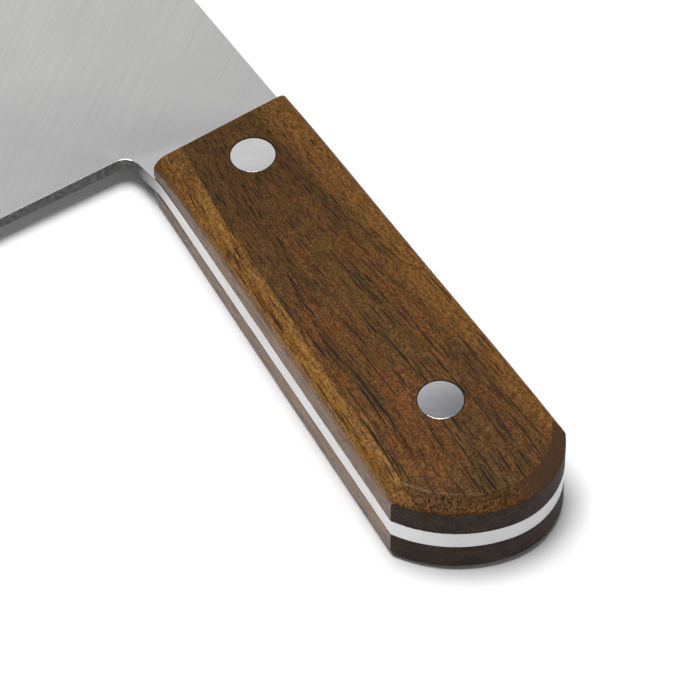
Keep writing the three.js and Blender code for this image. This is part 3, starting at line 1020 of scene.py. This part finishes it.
def brushed(look, length, width, turn=0.0):
    """The place in millimetres, and fine lines along it, turned in the xy plane."""
    place = look.node("ShaderNodeCombineXYZ", dict(enumerate(look.drawn_place()))).outputs[0]
    return place, look.noise(look.stretched(place, length, width, turn), 3.0, 0.6)


def satin_steel():
    """The blade's ground faces, with faint slanting scratches."""
    look = Look("satin_steel")
    place, scratches = brushed(look, 46, 0.30, BLADE_GRIND)
    clouds = look.noise(look.stretched(place, 14, 14), 2.0)
    tone = look.mix(look.fade(clouds, 0.3, 0.7), *SATIN)
    tone = look.mix(look.fade(scratches, 0.42, 0.72, 0.0, 0.40), tone, SATIN_SCRATCH)
    look.set(Base_Color=tone, Metallic=1.0, Roughness=0.24)
    look.bump(scratches, 0.01, 0.00001)
    return look.material


def bevel_steel():
    """The whetted cutting bevel, with fine lines across the edge."""
    look = Look("whetted_steel")
    _, lines = brushed(look, 12, 0.22, BEVEL_GRIND)
    look.set(Base_Color=WHETTED, Metallic=1.0)
    look.set(Roughness=look.fade(lines, 0.3, 0.7, 0.18, 0.32))
    look.bump(lines, 0.12, 0.00004)
    return look.material


def polished_steel():
    """The tang's edges, the spine and the broken edges, ground lengthwise with the handle, with painted
    shade towards the butt.
    """
    look = Look("polished_steel")
    place, lines = brushed(look, 16, 0.16)
    clouds = look.noise(look.stretched(place, 14, 5), 2.0)
    tone = look.mix(look.fade(clouds, 0.3, 0.7), *POLISHED)
    # Painted shade: the edges darken towards the butt, where they reflect the shadowed floor.
    butt = look.fade(look.drawn_place()[0], BUTT_EDGE_CENTRE.x + BUTT_SHADE_START, HANDLE_LENGTH)
    tone = look.mix(butt, tone, BUTT_EDGE_SHADE)
    look.set(Base_Color=tone, Metallic=1.0, Roughness=look.fade(lines, 0.3, 0.7, 0.20, 0.34))
    look.bump(lines, 0.10, 0.00004)
    return look.material


def heel_steel():
    """The heel's and the notch's wall, left dark and mottled from cutting out, and cleaner
    towards the handle."""
    look = Look("heel_steel")
    place, lines = brushed(look, 1.4, 0.5)
    blots = look.noise(look.stretched(place, 2.2, 1.1, shift=7.0), 4.0, 0.65)
    dark = look.mix(look.fade(blots, 0.36, 0.64), *CUT_WALL)
    dark = look.mix(look.fade(lines, 0.5, 0.75, 0.0, 0.4), dark, CUT_WALL_LINE)
    x = look.drawn_place()[0]
    clean = look.fade(x, HEEL_CLEAN_START, HEEL_CLEAN_END)
    rough = look.fade(x, HEEL_CLEAN_START, HEEL_CLEAN_END, 0.42, 0.28)
    look.set(Base_Color=look.mix(clean, dark, CLEAN_WALL), Metallic=1.0, Roughness=rough)
    look.bump(look.math("ADD", blots, lines), 0.2, 0.00008)
    return look.material


def rivet_steel():
    """The rivet heads, ground flush, with fine slanting lines."""
    look = Look("rivet_steel")
    place, lines = brushed(look, 6, 0.25, RIVET_GRIND)
    clouds = look.noise(look.stretched(place, 3, 3), 2.0)
    tone = look.mix(look.fade(clouds, 0.3, 0.7), *RIVET_HEAD)
    look.set(Base_Color=tone, Metallic=1.0, Roughness=look.fade(lines, 0.3, 0.7, 0.16, 0.20))
    look.bump(lines, 0.02, 0.00002)
    return look.material


# ---- stage -------------------------------------------------------------------------------

AIM = row(59.2, -23.3, 0)
CAMERA_DISTANCE = 1.2333
CAMERA_AZIMUTH = 56.1
CAMERA_ELEVATION = 53.5
CAMERA_ROLL = 0.09
CAMERA_LENS = 308.6
SENSOR_WIDTH = 36

FLOOR_REACH = 4.0
FLOOR_WHITE = (0.77, 0.77, 0.775)
SKY_ABOVE = 0.10
SKY_AT_HORIZON = 1.0
HORIZON_BAND = (0.05, 0.20)
LIGHT_DISTANCE = 1.2
# Softboxes: the direction each lies in, its size in metres, and its radiance. The main one
# lights the scene, the rear one glints on the chamfer's crest, and the low one fills the shadows
# on the camera's side and glints on the heel's broken edges.
SOFTBOXES = {
    "main": ((-0.05, -0.09, 0.99), (0.5, 0.5), 22.0),
    "rear_glint": ((-0.06, 0.16, 0.98), (0.4, 0.24), 3.5),
    "fill": ((0.76, -0.05, 0.64), (1.3, 0.34), 0.9),
}
CARD_CENTRE = Vector((-0.59, 0.33, 0.78))
CARD_SIZE = (0.90, 0.90)
CARD_BRIGHT = colour(0.76, 0.753, 0.747)
CARD_DIM = colour(0.125, 0.13, 0.15)
CARD_FADE = (-0.61, -0.18)


def make_camera():
    camera = bpy.data.objects.new("camera", bpy.data.cameras.new("camera"))
    bpy.context.scene.collection.objects.link(camera)
    turn = Euler((math.radians(90 - CAMERA_ELEVATION), 0, math.radians(CAMERA_AZIMUTH))).to_matrix()
    turn = turn @ Euler((0, 0, math.radians(CAMERA_ROLL))).to_matrix()
    camera.matrix_world = turn.to_4x4()
    camera.location = AIM + turn @ Vector((0, 0, CAMERA_DISTANCE))
    camera.data.lens = CAMERA_LENS
    camera.data.sensor_width = SENSOR_WIDTH
    camera.data.clip_end = 100
    bpy.context.scene.camera = camera


def make_floor():
    """A white sheet through three points of the underside: the front of the lower scale, and the
    far end of the blade at its spine and at its bevel's shoulder. Behind its front, the lower
    scale bulges below the sheet, by up to 1.6 mm on its edge side halfway along the handle."""
    low_points = [
        row(0, edge_side(0) + EDGE_ROUND_WIDTH, -TANG_HALF - FRONT_HEIGHT),
        row(TIP_X, -TIP_SPINE_RADIUS, -flat_half(-TIP_SPINE_RADIUS)),
        row(TIP_X, edge_line(TIP_X) + BEVEL_WIDTH, -flat_half(edge_line(TIP_X) + BEVEL_WIDTH)),
    ]
    up = (low_points[1] - low_points[0]).cross(low_points[2] - low_points[0]).normalized()
    up = up if up.z > 0 else -up
    floor = make_sheet("floor", low_points[0], up, FLOOR_REACH, FLOOR_REACH)
    look = Look("floor_white")
    look.set(Base_Color=colour(*FLOOR_WHITE), Roughness=0.8, Specular_IOR_Level=0.2)
    floor.data.materials.append(look.material)


def make_sheet(name, centre, up, reach_x, reach_y):
    """A flat rectangle through centre, reach_x and reach_y to each side."""
    along = Vector((1, 0, 0))
    along = (along - up * along.dot(up)).normalized()
    side = up.cross(along)
    corners = [(-1, -1), (1, -1), (1, 1), (-1, 1)]
    mesh = bpy.data.meshes.new(name)
    mesh.from_pydata(
        [centre + along * (reach_x * a) + side * (reach_y * b) for a, b in corners], [], [(0, 1, 2, 3)]
    )
    sheet = bpy.data.objects.new(name, mesh)
    bpy.context.scene.collection.objects.link(sheet)
    return sheet


def make_card():
    """A glowing card over the far side, grey so that the steel and the oiled wood don't wash out.
    It dims towards the handle, which gives the rear rivet its gradient."""
    card = make_sheet("grey_card", CARD_CENTRE, Vector((0, 0, 1)), CARD_SIZE[0] / 2, CARD_SIZE[1] / 2)
    card.visible_camera = False
    look = Look("grey_card")
    x = look.node("ShaderNodeSeparateXYZ", {0: look.object_place}).outputs[0]
    glow = look.mix(look.fade(x, *CARD_FADE), CARD_BRIGHT, CARD_DIM)
    look.set(Base_Color=colour(0, 0, 0), Specular_IOR_Level=0.0)
    look.set(Emission_Color=glow, Emission_Strength=1.0)
    card.data.materials.append(look.material)


def softbox(name, place, target, size, radiance):
    light = bpy.data.lights.new(name, "AREA")
    light.shape = "RECTANGLE"
    light.size, light.size_y = size
    light.energy = radiance * math.pi * size[0] * size[1]
    box = bpy.data.objects.new(name, light)
    bpy.context.scene.collection.objects.link(box)
    box.location = place
    box.rotation_euler = (Vector(target) - Vector(place)).to_track_quat("-Z", "Y").to_euler()
    box.visible_camera = False


def make_sky():
    """An even tent, brighter near the horizon."""
    world = bpy.data.worlds.new("tent")
    world.use_nodes = True
    nodes = world.node_tree.nodes
    links = world.node_tree.links
    direction = nodes.new("ShaderNodeTexCoord").outputs["Generated"]
    height = nodes.new("ShaderNodeSeparateXYZ")
    links.new(direction, height.inputs[0])
    strength = nodes.new("ShaderNodeMapRange")
    strength.interpolation_type = "SMOOTHSTEP"
    ranges = {
        "From Min": HORIZON_BAND[0],
        "From Max": HORIZON_BAND[1],
        "To Min": SKY_AT_HORIZON,
        "To Max": SKY_ABOVE,
    }
    for key, value in ranges.items():
        strength.inputs[key].default_value = value
    links.new(height.outputs["Z"], strength.inputs["Value"])
    background = nodes["Background"]
    background.inputs["Color"].default_value = colour(1, 1, 1)
    links.new(strength.outputs[0], background.inputs["Strength"])
    bpy.context.scene.world = world


def make_light():
    make_sky()
    for name, (towards, size, radiance) in SOFTBOXES.items():
        softbox(name, AIM + Vector(towards) * LIGHT_DISTANCE, AIM, size, radiance)
    bpy.context.scene.view_settings.view_transform = "Standard"


# ---- the cleaver -------------------------------------------------------------------------

make_camera()
make_floor()
make_card()
make_light()

end_grain = end_grain_walnut("walnut_end_grain")
upper_walnut = scale_looks("walnut_upper", end_grain, PORE_ZONES, 0, UPPER_SIDE_GLOSS)
lower_zones = PORE_ZONES[:4]
lower_walnut = scale_looks("walnut_lower", end_grain, lower_zones, LOWER_BOARD_SHIFT, LOWER_SIDE_GLOSS)
rivet_look = rivet_steel()
plate_looks = [satin_steel(), bevel_steel(), polished_steel(), heel_steel()]

pieces = [
    ("blade_and_tang", make_plate(plate_looks), "blade_steel"),
    ("upper_scale", make_scale("upper_scale", 1, upper_walnut), "walnut"),
    ("lower_scale", make_scale("lower_scale", -1, lower_walnut), "walnut"),
]
pieces += [(node, piece, "rivet_steel") for node, piece in make_rivets(rivet_look)]
for node, piece, slot in pieces:
    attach(piece, "root")
    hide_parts(node)
